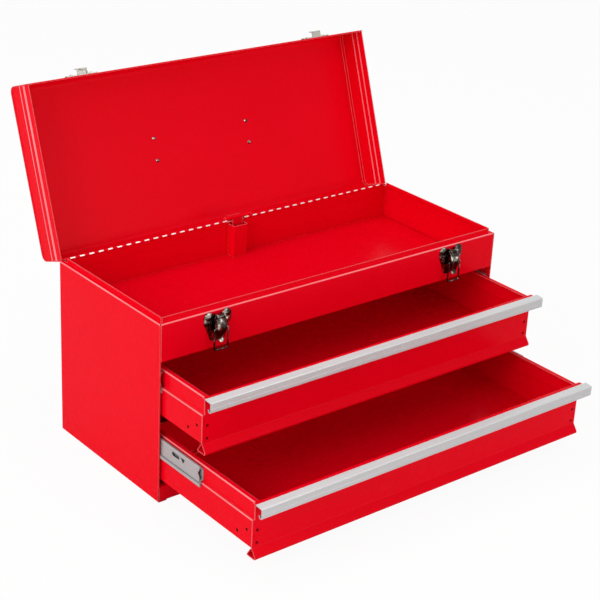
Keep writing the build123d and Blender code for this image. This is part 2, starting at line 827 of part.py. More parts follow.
def lock_bar_head():
    """Round cross bar at the top of the lock bar, in front of the hinge."""
    half = lock_head_length / 2
    z = hinge_z + lock_head_rest
    head = rod(lock_head_radius, (-half, lock_head_y, z), (half, lock_head_y, z))
    slot = block(
        (-lock_bar_width / 2, lock_bar_width / 2), (lock_head_y - lock_head_radius - 1, lock_head_y + lock_head_radius + 1),
        (z - lock_head_radius - 1, z - lock_head_radius + 0.5),
    )
    return head - slot


def lock_bar_spring():
    """Return spring under the lock bar's foot, on the base pan: a coil of quarter turn arcs."""
    seat = 2 * sheet + 2 * lap_gap + spring_seat_gap
    length = lock_bar_foot - seat - spring_seat_gap
    rise = (length - 2 * spring_wire_radius) / (4 * spring_turns)
    corners = [(1, 0), (0, 1), (-1, 0), (0, -1)]
    points = []
    for quarter in range(4 * spring_turns + 1):
        x, y = corners[quarter % 4]
        points.append(Vector(spring_radius * x, spring_radius * y, rise * quarter))
    arcs = []
    heading = Vector(0, 2 * spring_radius, rise)
    for start, end in zip(points, points[1:]):
        arcs.append(TangentArc(start, end, tangent=heading).edge())
        heading = arcs[-1] % 1
    path = Wire(arcs)
    coil = sweep(Plane(path @ 0, z_dir=path % 0) * Circle(spring_wire_radius), path=path)
    return Pos(0, lock_bar_front + lock_bar_thickness / 2, seat + spring_wire_radius) * coil


# ---- latches ----
def latch_base(side):
    """Plate with two ears, a tapered shield under the lever and two cheeks for the lever's pin."""
    centre = latch_from_centre
    top_width, low_width = shield_width
    outline = polygon([
        (centre - top_width / 2, ear_z), (centre + top_width / 2, ear_z),
        (centre + low_width / 2, case_height - shield_drop), (centre - low_width / 2, case_height - shield_drop),
    ])
    plate = along_y(outline, front - latch_plate, front)
    for sign in SIDES.values():
        x = centre + sign * ear_spacing / 2
        for z in (ear_z, ear_z + ear_rise):
            plate += rod(ear_radius, (x, front - latch_plate, z), (x, front, z))
        plate += block((x - ear_radius, x + ear_radius), (front - latch_plate, front), (ear_z, ear_z + ear_rise))
    y, z = lever_pivot
    cheek = polygon([
        (front - latch_plate / 2, z + 4), (y - 2, z + 2.6), (y - 2.6, z), (y - 2, z - 2.6), (front - latch_plate / 2, z - 8),
    ])
    for low in (cheek_half - latch_plate, -cheek_half):
        plate += along_x(cheek, centre + low, centre + low + latch_plate)
    bore = latch_pin_radius + pin_clearance
    plate -= rod(bore, (centre - cheek_half - 1, y, z), (centre + cheek_half + 1, y, z))
    return on_side(plate, side)


def latch_pins():
    """Pins of the two levers."""
    y, z = lever_pivot
    half = lever_half + 0.6
    pins = [rod(latch_pin_radius, (x - half, y, z), (x + half, y, z)) for x in (-latch_from_centre, latch_from_centre)]
    return Compound(children=pins)


def latch_rivets():
    """Rivet heads on the ears of both latch bases."""
    heads = [
        dome((sign * latch_from_centre + shift, front - latch_plate, ear_z), (0, -1, 0))
        for sign in SIDES.values() for shift in (-ear_spacing / 2, ear_spacing / 2)
    ]
    return Compound(children=heads)


def latch_lever(side):
    """Lever: two arms on the pin, a front plate between them and a lifting tongue."""
    centre = latch_from_centre
    y, z = lever_pivot
    bail_y, bail_z = bail_pivot
    face = front - lever_front_out
    low = case_height - lever_drop
    top = bail_z + bail_eye
    arm_low = bail_z - 1.7 * bail_eye
    arm = polygon([
        (y - 1, z + 3), (y + 2.4, z + 1.5), (y + 2.2, z - 3), (bail_y + bail_eye, bail_z - bail_eye),
        (face + latch_plate, arm_low), (face, arm_low), (face, top),
    ])
    arms = [along_x(arm, centre + side_x, centre + side_x + latch_plate) for side_x in (-lever_half, lever_half - latch_plate)]
    outline = polygon([
        (centre - lever_half, top), (centre + lever_half, top), (centre + lever_half, arm_low),
        (centre + lever_low_half, low), (centre - lever_low_half, low), (centre - lever_half, arm_low),
    ])
    plate = along_y(outline, face, face + latch_plate)
    tongue = along_x(folded([
        (face + latch_plate, low + 2), (face + latch_plate, low - 1.5), (face - tongue_lift, case_height - tongue_drop),
    ][::-1], latch_plate, 1.5), centre - tongue_width / 2, centre + tongue_width / 2)
    lever = plate + arms + tongue
    bores = [
        rod(latch_pin_radius + pin_clearance, (centre - 9, y, z), (centre + 9, y, z)),
        rod(bail_wire_radius + pin_clearance, (centre - 9, bail_y, bail_z), (centre + 9, bail_y, bail_z)),
    ]
    return on_side(lever - bores, side)


def latch_bail(side):
    """Wire bail, hanging. Its ends turn inward into the lever's arms."""
    centre = latch_from_centre
    y, z = bail_pivot
    tip = lever_half - latch_plate
    points = [
        (centre - tip, y, z), (centre - bail_half, y, z), (centre - bail_half, y, z - bail_length),
        (centre + bail_half, y, z - bail_length), (centre + bail_half, y, z), (centre + tip, y, z),
    ]
    small = bail_wire_radius + 0.3
    path = Wire(rounded_path([Vector(*p) for p in points], [small, bail_bend, bail_bend, small]))
    wire = sweep(Plane(points[0], z_dir=(-1, 0, 0)) * Circle(bail_wire_radius), path=path)
    return on_side(wire, side)


# ---- all the pieces ----
def pieces():
    """Every node's name with its solid, in the rest pose."""
    parts = {
        "back_panel": back_panel(),
        "base_pan": base_pan(),
        "front_apron": front_apron(),
        "tray_floor": tray_floor(),
        "lock_bar_cover": lock_bar_cover(),
        "lock_bar_guides": lock_bar_guides(),
        "lid_shell": lid_shell(),
        "lock_bar_striker": lock_bar_striker(),
        "keeper_rivets": keeper_rivets(),
        "handle_rivets": handle_rivets(),
        "handle_bail": handle_bail(),
        "handle_grip": handle_grip(),
        "lock_bar": lock_bar(),
        "lock_bar_head": lock_bar_head(),
        "lock_bar_spring": lock_bar_spring(),
        "latch_pins": latch_pins(),
        "latch_rivets": latch_rivets(),
    }
    for side in SIDES:
        parts[f"side_panel_{side}"] = side_panel(side)
        parts[f"hinge_leaf_case_{side}"] = hinge_leaf("case", side)
        parts[f"hinge_leaf_lid_{side}"] = hinge_leaf("lid", side)
        parts[f"hinge_pin_{side}"] = hinge_pin(side)
        parts[f"lid_end_{side}"] = lid_end(side)
        parts[f"keeper_{side}"] = keeper(side)
        parts[f"handle_clip_{side}"] = handle_clip(side)
        parts[f"latch_base_{side}"] = latch_base(side)
        parts[f"latch_lever_{side}"] = latch_lever(side)
        parts[f"latch_bail_{side}"] = latch_bail(side)
    for level in ledges:
        out = Pos(0, -drawer_open[level], 0)
        parts[f"drawer_tray_{level}"] = out * drawer_tray(level)
        parts[f"drawer_back_{level}"] = out * drawer_back(level)
        parts[f"drawer_front_{level}"] = out * drawer_front(level)
        parts[f"drawer_pull_{level}"] = out * drawer_pull(level)
        for side in SIDES:
            parts[f"slide_channel_{level}_{side}"] = slide_channel(level, side)
            parts[f"slide_rail_{level}_{side}"] = slide_rail(level, side)
            parts[f"drawer_runner_{level}_{side}"] = drawer_runner(level, side)
    return parts


os.makedirs("parts", exist_ok=True)
for name, shape in pieces().items():
    export_step(shape, f"parts/{name}.step")
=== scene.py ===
import json
from math import cos, pi, radians, sin

import bmesh
import bpy
from mathutils import Matrix, Vector

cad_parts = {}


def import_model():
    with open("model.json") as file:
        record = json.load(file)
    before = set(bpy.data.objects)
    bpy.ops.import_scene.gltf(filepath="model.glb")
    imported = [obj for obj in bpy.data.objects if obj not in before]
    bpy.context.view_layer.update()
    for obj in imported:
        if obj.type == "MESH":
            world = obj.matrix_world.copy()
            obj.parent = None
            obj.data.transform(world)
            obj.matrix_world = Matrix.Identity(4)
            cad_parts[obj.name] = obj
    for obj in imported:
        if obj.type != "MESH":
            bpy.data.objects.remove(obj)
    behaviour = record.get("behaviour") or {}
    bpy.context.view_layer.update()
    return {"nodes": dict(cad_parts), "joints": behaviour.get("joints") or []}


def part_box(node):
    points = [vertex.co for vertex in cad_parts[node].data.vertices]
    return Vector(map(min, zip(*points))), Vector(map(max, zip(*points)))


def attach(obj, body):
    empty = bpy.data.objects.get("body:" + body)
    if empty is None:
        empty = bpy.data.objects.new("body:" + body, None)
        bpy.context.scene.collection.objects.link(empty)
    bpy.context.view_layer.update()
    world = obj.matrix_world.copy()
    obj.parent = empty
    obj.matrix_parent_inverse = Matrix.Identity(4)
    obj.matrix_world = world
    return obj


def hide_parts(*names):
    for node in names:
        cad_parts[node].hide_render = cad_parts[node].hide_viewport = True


# Looks of a portable steel tool box: red powder coat, bright fittings, ribbed aluminium drawer pulls.
# Everything is in metres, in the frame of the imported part.

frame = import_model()

SIDES = {"left": -1, "right": 1}
LEVELS = ("top", "bottom")
MM = 0.001

# ---- camera, fitted to the corners of the photographed box ----
camera_place = Vector((-1.15690, -1.42414, 0.97586))
camera_azimuth = radians(-39.750)
camera_elevation = radians(24.079)
camera_roll = radians(2.937)
camera_lens = 95.416
camera_sensor = 36.0

# ---- lights and surroundings ----
# name, place, what it points at, width, height, power
softboxes = (
    ("key_left", (-2.4, -0.5, 1.4), (0, 0, 0.15), 1.8, 1.6, 36),
    ("overhead", (0.1, 0.5, 2.4), (0, 0, 0.1), 2.2, 1.6, 16),
    ("front_fill", (0.6, -2.7, 0.7), (0, 0, 0.2), 1.8, 1.2, 17),
)
ambient = 0.52              # strength of the surroundings on matt surfaces
surround_seen = 1.0         # and where the camera, gloss or glass sees them
floor_reach = 6.0
floor_glow = 0.94           # share of the floor that the camera sees as pure white

# ---- colours, linear ----
paint_red = (0.780, 0.0002, 0.0085)
paint_red_light = (0.830, 0.0004, 0.0125)
# pinkish white of the painted highlight on edges and folds
paint_edge_highlight = (0.950, 0.3600, 0.3800)
# bright bare metal of the painted highlight along the top of the hinge barrels
hinge_highlight_steel = (0.80, 0.78, 0.76)
zinc_grey = (0.52, 0.525, 0.53)
zinc_dark = (0.36, 0.365, 0.37)
# nickel: the colour of its lit patches and of its painted dark reflections
nickel_light = (0.46, 0.44, 0.39)
nickel_painted_dark_reflection = (0.045, 0.032, 0.028)
latch_dark_share = 0.50     # share of the nickel painted dark, a painted reflection of dark surroundings
keeper_dark_share = 0.30
# contrast of the painted reflection patches
patch_contrast = 6.0
pull_silver = (0.70, 0.70, 0.70)
pull_silver_dark = (0.50, 0.50, 0.51)
grip_black = (0.018, 0.018, 0.019)
grip_dust = (0.050, 0.050, 0.050)
floor_white = (0.86, 0.86, 0.86)

# ---- paint ----
edge_width = 1.0 * MM       # radius of the rounded normal, and how far the painted highlight on an edge reaches
# painted highlight on edges: the contrast, start and strength of its mask
edge_contrast = 7.0
edge_start = 0.03
edge_strength = 0.7
paint_gloss = 0.035         # specular level
hinge_gloss = 0.09
fold_faint = 0.35           # least strength of the painted highlight line along a fold, and how much the noise adds
fold_drift = 0.6
fold_radius = 1.9 * MM      # outer radius of the folds in the sheet
fold_line = 1.1 * MM        # half the width of the painted highlight line along a fold
rim_rise = 5.4 * MM         # of the case rim above the shoulder
drawer_step = 3.0 * MM      # the upper band of a drawer side is set in
drawer_band = 21.0 * MM     # height of that band
lid_band_highlight_lines = (10.4 * MM, 20.0 * MM)     # edges of the raised band above the pin of the hinge, lid shut, where painted highlight lines run
lid_band_highlight_reach = 1.5 * MM
lid_angle = radians(109.4)  # from shut to the rest pose
hinge_highlight_depth = 1.25 * MM      # height of the painted highlight strip, bright bare metal, below the top of the barrel
hole_reach = 2.1 * MM       # reach of the painted shade round the middle of a screw hole
hole_fade = 0.35 * MM
# colour of the painted shade in and round a screw hole
hole_painted_shade = (0.012, 0.003, 0.003)
front_wall = 1.0 * MM       # of a drawer, in front of its folded sides
side_hole_places = ((10.0 * MM, 20.0 * MM), (26.5 * MM, 10.5 * MM))     # behind the front, above the floor
front_hole_inset = 6.8 * MM
front_hole_heights = (6.0 * MM, 22.0 * MM)

# ---- drawer pulls ----
rib_pitch = 3.0 * MM
rib_radius = 0.85 * MM
rib_stand = 0.25 * MM       # how far a rib stands out of the face
rib_end_margin = 1.5 * MM
rib_rows = ((0.06, 0.34), (0.48, 0.95))     # shares of the face's height that carry ribs
pull_face_slope = 1.0 * MM
pull_set_back = 0.3 * MM    # of the face behind the tips of its ribs
pull_face_blend = 0.5 * MM  # depth over which the setback fades out
pull_line_sink = 0.15 * MM
pull_line_radius = 0.35 * MM
pull_line_share = 0.41

# ---- latches, measured from the shoulder, the case front and the middle of the latch ----
latch_wall = 1.2 * MM
ear_radius = 6.4 * MM
ear_top_drop = 7.6 * MM     # centre of an ear's round top
ear_foot_drop = 13.2 * MM   # its rivet
ear_shift = 12.5 * MM
ear_bulge = (5.6 * MM, 5.2 * MM, 1.2 * MM)
rivet_radius = 1.9 * MM
rivet_rise = 1.3 * MM
ear_bulge_drop = 6.4 * MM
plate_dip = 7.5 * MM        # top edge of the plate between the ears
shield_foot = 9.5 * MM
shield_drop = 38.0 * MM
shield_corner = 2.0 * MM
plate_round = 0.45 * MM
barrel_radius = 2.5 * MM
barrel_half = 4.1 * MM
cheek_half = 5.4 * MM
cheek_radius = 3.1 * MM
lever_wall = 1.1 * MM
lever_round = 1.6 * MM
lever_groove = 0.9 * MM
# drop, distance in front of the case, half width, depth of the sides, share of the groove
lever_stations = (
    (8.6, 7.4, 7.1, 4.6, 0.0), (11.0, 8.6, 7.1, 5.8, 0.0), (14.5, 10.2, 7.1, 7.0, 0.3), (17.5, 11.0, 7.1, 7.4, 0.8),
    (21.0, 11.0, 7.0, 6.2, 1.0), (25.0, 10.5, 6.4, 3.6, 1.0), (28.5, 9.9, 5.4, 2.2, 1.0), (31.0, 9.4, 4.7, 1.6, 0.6),
    (33.0, 9.3, 4.5, 1.2, 0.0), (34.6, 9.8, 4.3, 1.15, 0.0), (35.8, 10.4, 3.4, 1.12, 0.0), (36.4, 10.7, 2.0, 1.11, 0.0),
)

# ---- handle grip ----
grip_rings = 15
grip_ring_depth = 0.5 * MM
grip_ring_shares = (0.18, 0.42, 0.6)        # start and end of a groove's floor, and the groove's end, in one pitch
grip_bore_radius = 3.1 * MM
grip_end = 4.0 * MM


# ---- shader maths ----
class Value:
    """One output of a shader tree. Arithmetic on it adds Math nodes."""

    def __init__(self, finish, socket):
        self.finish = finish
        self.socket = socket

    def maths(self, operation, *terms):
        return self.finish.node("ShaderNodeMath", {"operation": operation}, dict(enumerate(terms)))

    def __add__(self, other):
        return self.maths("ADD", self, other)

    def __sub__(self, other):
        return self.maths("SUBTRACT", self, other)

    def __rsub__(self, other):
        return self.maths("SUBTRACT", other, self)

    def __mul__(self, other):
        return self.maths("MULTIPLY", self, other)

    def __truediv__(self, other):
        return self.maths("DIVIDE", self, other)

    def clamped(self):
        return self.maths("MINIMUM", self.maths("MAXIMUM", self, 0.0), 1.0)

    def size(self):
        return self.maths("ABSOLUTE", self)

    __radd__ = __add__
    __rmul__ = __mul__


class Finish:
    """A material with its node tree."""

    def __init__(self, name):
        self.material = bpy.data.materials.new(name)
        self.material.use_nodes = True
        self.tree = self.material.node_tree
        self.tree.nodes.clear()
        self.output = self.tree.nodes.new("ShaderNodeOutputMaterial")

    def node(self, kind, settings=None, inputs=None, output=0):
        """Adds a node: its settings first, then the values or links of its sockets."""
        made = self.tree.nodes.new(kind)
        for name, setting in (settings or {}).items():
            setattr(made, name, setting)
        for key, term in (inputs or {}).items():
            if isinstance(term, Value):
                self.tree.links.new(term.socket, made.inputs[key])
            elif isinstance(term, tuple) and made.inputs[key].type == "RGBA":
                made.inputs[key].default_value = (*term, 1.0)
            else:
                made.inputs[key].default_value = term
        return Value(self, made.outputs[output])

    def place(self):
        return self.node("ShaderNodeTexCoord", output="Object")

    def axis(self, letter):
        return self.node("ShaderNodeSeparateXYZ", inputs={"Vector": self.place()}, output=letter)

    def stretched(self, scale):
        """Object coordinates scaled by three factors."""
        return self.node("ShaderNodeMapping", inputs={"Vector": self.place(), "Scale": scale})

    def noise(self, scale, detail=2.0, rough=0.5, vector=None):
        """Noise from 0 to 1."""
        return self.node("ShaderNodeTexNoise", inputs={
            "Vector": vector or self.place(), "Scale": scale, "Detail": detail, "Roughness": rough})

    def mix(self, factor, first, second):
        """Colour between two colours."""
        return self.node("ShaderNodeMix", {"data_type": "RGBA"}, {0: factor, 6: first, 7: second}, output=2)

    def bump(self, height, distance, strength=1.0, normal=None):
        inputs = {"Height": height, "Distance": distance, "Strength": strength}
        if normal:
            inputs["Normal"] = normal
        return self.node("ShaderNodeBump", inputs=inputs)

    def edges(self, width):
        """How far the surface turns within a width: 0 on a flat face, more at a fold. Also the rounded normal."""
        rounded = self.node("ShaderNodeBevel", {"samples": 6}, {"Radius": width})
        flat = self.node("ShaderNodeNewGeometry", output="Normal")
        along = self.node("ShaderNodeVectorMath", {"operation": "DOT_PRODUCT"}, {0: rounded, 1: flat}, output="Value")
        return 1.0 - along, rounded

    def near(self, point, across, reach, fade=None):
        """1 where a point of the surface lies on a line or plane, fading to 0 at a reach from it. The
        directions across it say how the distance is measured, and X counts alike on both sides."""
        x, y, z = (self.axis(letter) for letter in "XYZ")
        squares = 0.0
        for direction in across:
            along = x.size() * direction[0] + y * direction[1] + z * direction[2] - Vector(point).dot(Vector(direction))
            squares = along * along + squares
        return ((reach - squares.maths("SQRT", squares)) / (fade or reach * 0.5)).clamped()

    def surface(self, **sockets):
        inputs = {name.replace("_", " ").title().replace("Ior", "IOR"): term for name, term in sockets.items()}
        shader = self.node("ShaderNodeBsdfPrincipled", inputs=inputs)
        self.tree.links.new(shader.socket, self.output.inputs["Surface"])
        return self.material


# ---- finishes ----
def red_powder_coat(name="red_powder_coat", folds=(), holes=()):
    """Glossy powder coat with a faint orange peel and a slight drift in shade, a painted highlight on edges and folds,
    and painted shade round the screw holes."""
    paint = Finish(name)
    drift = paint.noise(9.0, 3.0)
    peel = paint.noise(520.0, 2.0) + paint.noise(150.0, 1.0) * 1.6
    haze = paint.noise(60.0, 4.0)
    turn, rounded = paint.edges(edge_width)
    # painted highlight on every edge where the surface turns
    painted_highlight = ((turn - edge_start) * edge_contrast).clamped() * edge_strength
    # and a painted highlight line along each fold given
    for point, across, reach in folds:
        painted_highlight = painted_highlight + paint.near(point, across, reach) * (fold_faint + fold_drift * paint.noise(14.0, 2.0))
    color = paint.mix(painted_highlight.clamped(), paint.mix(drift, paint_red, paint_red_light), paint_edge_highlight)
    # painted shade round each screw hole
    for point in holes:
        color = paint.mix(paint.near(point, Matrix.Identity(3), hole_reach, hole_fade), color, hole_painted_shade)
    return paint.surface(
        base_color=color,
        roughness=0.22 + 0.10 * haze,
        specular_ior_level=paint_gloss,
        normal=paint.bump(peel, 0.00002, normal=rounded),
    )


def fold_corner(first, second):
    """Middle of a fold whose flat faces would meet at two coordinates, each given with the sense of its face."""
    inward = fold_radius * (1 - 0.5 ** 0.5)
    return first[0] - first[1] * inward, second[0] - second[1] * inward


def hinge_finish(highlight_above):
    """The same coat with a painted highlight along the barrel's upper side: a strip of bright bare metal."""
    paint = Finish("hinge_paint_painted_highlight")
    height = paint.axis("Z")
    painted_highlight_strip = ((height - highlight_above) * 4000.0 + paint.noise(900.0, 2.0) * 0.4).clamped()
    return paint.surface(
        base_color=paint.mix(painted_highlight_strip, paint_red, hinge_highlight_steel),
        metallic=painted_highlight_strip,
        roughness=0.30 - 0.08 * painted_highlight_strip,
        specular_ior_level=hinge_gloss,
        normal=paint.bump(paint.noise(700.0, 2.0), 0.00002),
    )


def bright_zinc():
    """Zinc plate with rolling marks along the slide and faint cloudy patches."""
    zinc = Finish("bright_zinc")
    marks = zinc.noise(1.0, 4.0, 0.6, zinc.stretched((900.0, 18.0, 900.0)))
    cloud = zinc.noise(70.0, 3.0)
    return zinc.surface(
        base_color=zinc.mix((marks * 0.6 + cloud * 0.5).clamped(), zinc_dark, zinc_grey),
        metallic=0.6,
        roughness=0.30 + 0.18 * cloud,
        normal=zinc.bump(marks, 0.00003),
    )


def polished_nickel(name, dark_share):
    """Nickel plate over pressed steel, with soft waviness, and painted reflections: light and dark patches in its
    colour.
    """
    nickel = Finish(name)
    cloud = nickel.noise(160.0, 3.0)
    wave = nickel.noise(260.0, 1.0)
    return nickel.surface(
        base_color=nickel.mix(((cloud - dark_share) * patch_contrast).clamped(), nickel_painted_dark_reflection, nickel_light),
        metallic=1.0,
        roughness=0.14 + 0.12 * cloud,
        normal=nickel.bump(wave, 0.00012),
    )


def pull_aluminium():
    """Satin aluminium with drawing lines along the bar."""
    metal = Finish("satin_aluminium")
    lines = metal.noise(1.0, 3.0, 0.55, metal.stretched((12.0, 1500.0, 1500.0)))
    return metal.surface(
        base_color=metal.mix(lines, pull_silver_dark, pull_silver),
        metallic=0.85,
        roughness=0.34 + 0.10 * lines,
        normal=metal.bump(lines, 0.00002),
    )


def grip_rubber():
    """Matt black rubber with a fine grain."""
    rubber = Finish("black_rubber")
    grain = rubber.noise(1400.0, 3.0)
    dust = rubber.noise(120.0, 4.0)
    return rubber.surface(
        base_color=rubber.mix(dust * 0.4, grip_black, grip_dust),
        roughness=0.62 + 0.2 * dust,
        normal=rubber.bump(grain, 0.00006),
    )


red = red_powder_coat()
zinc = bright_zinc()
nickel = polished_nickel("polished_nickel", latch_dark_share)
# the keepers' nickel, with fewer painted dark reflections
bright_nickel = polished_nickel("polished_nickel_bright", keeper_dark_share)
aluminium = pull_aluminium()
rubber = grip_rubber()


# ---- finishes of the carried pieces ----
def dress_node(node, material):
    frame["nodes"][node].data.materials.clear()
    frame["nodes"][node].data.materials.append(material)


def finish_for(node):
    """The finish of a piece that comes with the frame, by its name."""
    if node.startswith(("slide_", "drawer_runner")) or node in ("lock_bar_guides", "lock_bar_spring"):
        return zinc
    if node.startswith("drawer_pull"):
        return aluminium
    if node == "handle_grip":
        return rubber
    if node.startswith("keeper"):
        return bright_nickel
    if node.startswith(("latch", "handle_clip", "handle_rivets", "handle_bail", "hinge_pin")):
        return nickel
    return red


def dress_frame():
    for node in frame["nodes"]:
        dress_node(node, finish_for(node))
    for side in SIDES:
        node = f"hinge_leaf_case_{side}"
        barrel_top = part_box(node)[1].z
        dress_node(node, hinge_finish(barrel_top - hinge_highlight_depth))
    dress_folds()


def dress_folds():
    """Paint of the pieces with a painted highlight line along their rounded folds, and painted shade round the drawers'
    screw holes.
    """
    right = Vector((1, 0, 0))
    ahead = Vector((0, 1, 0))
    up = Vector((0, 0, 1))
    low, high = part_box("side_panel_right")
    shoulder = high.z - rim_rise
    x, z = fold_corner((high.x, 1), (shoulder, 1))
    side_paint = red_powder_coat("red_powder_coat_side_wall", [((x, 0, z), (right, up), fold_line)])
    y, z = fold_corner((low.y, -1), (shoulder, 1))
    dress_node("front_apron", red_powder_coat("red_powder_coat_apron", [((0, y, z), (ahead, up), fold_line)]))
    pin = joint_place("lid_hinge")
    depth = Vector((0, sin(lid_angle), cos(lid_angle)))
    bands = [(pin + depth * height, (depth,), lid_band_highlight_reach) for height in lid_band_highlight_lines]
    end_paint = red_powder_coat("red_powder_coat_lid_end", bands)
    for side in SIDES:
        dress_node(f"side_panel_{side}", side_paint)
        dress_node(f"lid_end_{side}", end_paint)
    for level in LEVELS:
        low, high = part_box(f"drawer_tray_{level}")
        wall = low.y - front_wall
        side_holes = [Vector((high.x, wall + behind, low.z + height)) for behind, height in side_hole_places]
        front_holes = [Vector((high.x - front_hole_inset, wall, low.z + height)) for height in front_hole_heights]
        dress_node(f"drawer_front_{level}", red_powder_coat(f"red_powder_coat_front_{level}", holes=front_holes))
        top_x, top_z = fold_corner((high.x - drawer_step, 1), (high.z, 1))
        ledge_x, ledge_z = fold_corner((high.x, 1), (high.z - drawer_band, 1))
        folds = [((top_x, 0, top_z), (right, up), fold_line), ((ledge_x, 0, ledge_z), (right, up), fold_line)]
        dress_node(f"drawer_tray_{level}", red_powder_coat(f"red_powder_coat_drawer_{level}", folds, side_holes))


# ---- meshes ----
def mesh_object(name, mesh, material):
    piece = bpy.data.objects.new(name, mesh)
    bpy.context.scene.collection.objects.link(piece)
    mesh.materials.clear()
    mesh.materials.append(material)
    return piece


def object_from(name, bm, material, smooth_angle=40):
    """Finishes a bmesh: merged, faces outward, smooth except at sharp edges."""
    bmesh.ops.remove_doubles(bm, verts=bm.verts, dist=1e-6)
    bmesh.ops.recalc_face_normals(bm, faces=bm.faces)
    mesh = bpy.data.meshes.new(name)
    bm.to_mesh(mesh)
    bm.free()
    mesh.shade_smooth()
    mesh.set_sharp_from_angle(angle=radians(smooth_angle))
    return mesh_object(name, mesh, material)


def plain_mesh(piece):
    """Turns what the modifiers make of a piece into its own mesh."""
    evaluated = piece.evaluated_get(bpy.context.evaluated_depsgraph_get())
    mesh = bpy.data.meshes.new_from_object(evaluated)
    piece.modifiers.clear()
    piece.data = mesh
    return piece


# ---- repeated pieces, by geometry nodes ----
class Growth:
    """A geometry tree with named inputs."""

    def __init__(self, name):
        self.tree = bpy.data.node_groups.new(name, "GeometryNodeTree")
        self.entry = self.tree.nodes.new("NodeGroupInput")
        self.keys = {}

    def value(self, name, kind="NodeSocketFloat"):
        """A named input of the tree."""
        item = self.tree.interface.new_socket(name=name, in_out="INPUT", socket_type=kind)
        self.keys[name] = item.identifier
        return next(socket for socket in self.entry.outputs if socket.identifier == item.identifier)

    def node(self, kind, settings=None, inputs=None, output=0):
        made = self.tree.nodes.new(kind)
        for name, setting in (settings or {}).items():
            setattr(made, name, setting)
        for key, term in (inputs or {}).items():
            if isinstance(term, bpy.types.NodeSocket):
                self.tree.links.new(term, made.inputs[key])
            else:
                made.inputs[key].default_value = term
        return made.outputs[output]

    def end(self, geometry, material):
        """Realizes the instances, gives them the finish and closes the tree."""
        self.tree.interface.new_socket(name="Geometry", in_out="OUTPUT", socket_type="NodeSocketGeometry")
        real = self.node("GeometryNodeRealizeInstances", inputs={0: geometry})
        done = self.node("GeometryNodeSetMaterial", inputs={"Geometry": real, "Material": material})
        self.tree.links.new(done, self.tree.nodes.new("NodeGroupOutput").inputs[0])

    def grow(self, name, values, material):
        """A plain mesh object of the tree's result for these values."""
        piece = mesh_object(name, bpy.data.meshes.new(name), material)
        modifier = piece.modifiers.new(name, "NODES")
        modifier.node_group = self.tree
        for key, term in values.items():
            modifier[self.keys[key]] = term
        return plain_mesh(piece)


def rib_rows_tree():
    """Upright ribs side by side along X: six-sided bars, half sunk in the face behind them."""
    growth = Growth("pull_rib_row")
    count = growth.value("Count", "NodeSocketInt")
    start = growth.value("First rib", "NodeSocketVector")
    pitch = growth.value("Pitch")
    radius = growth.value("Rib radius")
    height = growth.value("Rib height")
    finish = growth.value("Finish", "NodeSocketMaterial")
    step = growth.node("ShaderNodeCombineXYZ", inputs={"X": pitch})
    line = growth.node("GeometryNodeMeshLine", inputs={"Count": count, "Start Location": start, "Offset": step})
    rib = growth.node("GeometryNodeMeshCylinder", {"fill_type": "NGON"}, {
        "Vertices": 6, "Radius": radius, "Depth": height})
    ribs = growth.node("GeometryNodeInstanceOnPoints", inputs={"Points": line, "Instance": rib})
    growth.end(ribs, finish)
    return growth


def pull_bodies():
    """Drawer pulls with the front face set back, so that the ribs end where the extrusion's face is."""
    for level in LEVELS:
        node = f"drawer_pull_{level}"
        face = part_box(node)[0].y
        mesh = frame["nodes"][node].data.copy()
        for vertex in mesh.vertices:
            behind = vertex.co.y - face
            if behind < pull_face_blend:
                vertex.co.y = face + pull_set_back + behind * (1 - pull_set_back / pull_face_blend)
        piece = mesh_object(f"{node}_ribbed", mesh, aluminium)
        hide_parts(node)
        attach(piece, f"drawer_{level}")


def pull_ribs():
    """Ribs and the raised line on the front face of each drawer pull."""
    growth = rib_rows_tree()
    for level in LEVELS:
        low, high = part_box(f"drawer_pull_{level}")
        face_height = high.z - pull_face_slope - low.z
        count = int((high.x - low.x - 2 * rib_end_margin) / rib_pitch)
        first = (low.x + high.x - (count - 1) * rib_pitch) / 2
        for row, (start, end) in enumerate(rib_rows):
            middle = low.z + face_height * (start + end) / 2
            ribs = growth.grow(f"pull_ribs_{level}_{row}", {
                "Count": count,
                "First rib": (first, low.y + pull_set_back + rib_radius - rib_stand, middle),
                "Pitch": rib_pitch,
                "Rib radius": rib_radius,
                "Rib height": face_height * (end - start),
                "Finish": aluminium,
            }, aluminium)
            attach(ribs, f"drawer_{level}")
        line_y = low.y + pull_set_back + pull_line_sink
        line_z = low.z + face_height * pull_line_share
        line = bar(
            f"pull_line_{level}", aluminium,
            Vector((low.x, line_y, line_z)), Vector((high.x, line_y, line_z)), pull_line_radius)
        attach(line, f"drawer_{level}")


def bar(name, material, start, end, radius, sides=12):
    """Round bar with rounded ends, lathed about the line from start to end."""
    length = (end - start).length
    profile = [(radius * 0.55, 0.0), (radius * 0.9, radius * 0.25), (radius, radius * 0.6),
               (radius, length - radius * 0.6), (radius * 0.9, length - radius * 0.25), (radius * 0.55, length)]
    return lathed(name, material, start, end - start, profile, sides)


def lathed(name, material, origin, direction, profile, sides=48):
    """Solid of revolution: profile points are (radius, distance along the direction)."""
    bm = bmesh.new()
    turn = direction.to_track_quat("Z", "Y").to_matrix().to_4x4()
    rings = []
    for radius, along in profile:
        ring = []
        for step in range(sides):
            angle = 2 * pi * step / sides
            ring.append(bm.verts.new((radius * cos(angle), radius * sin(angle), along)))
        rings.append(ring)
    for lower, upper in zip(rings, rings[1:]):
        for step in range(sides):
            after = (step + 1) % sides
            bm.faces.new((lower[step], lower[after], upper[after], upper[step]))
    bm.faces.new(rings[0][::-1])
    bm.faces.new(rings[-1])
    bm.transform(Matrix.Translation(origin) @ turn)
    return object_from(name, bm, material)


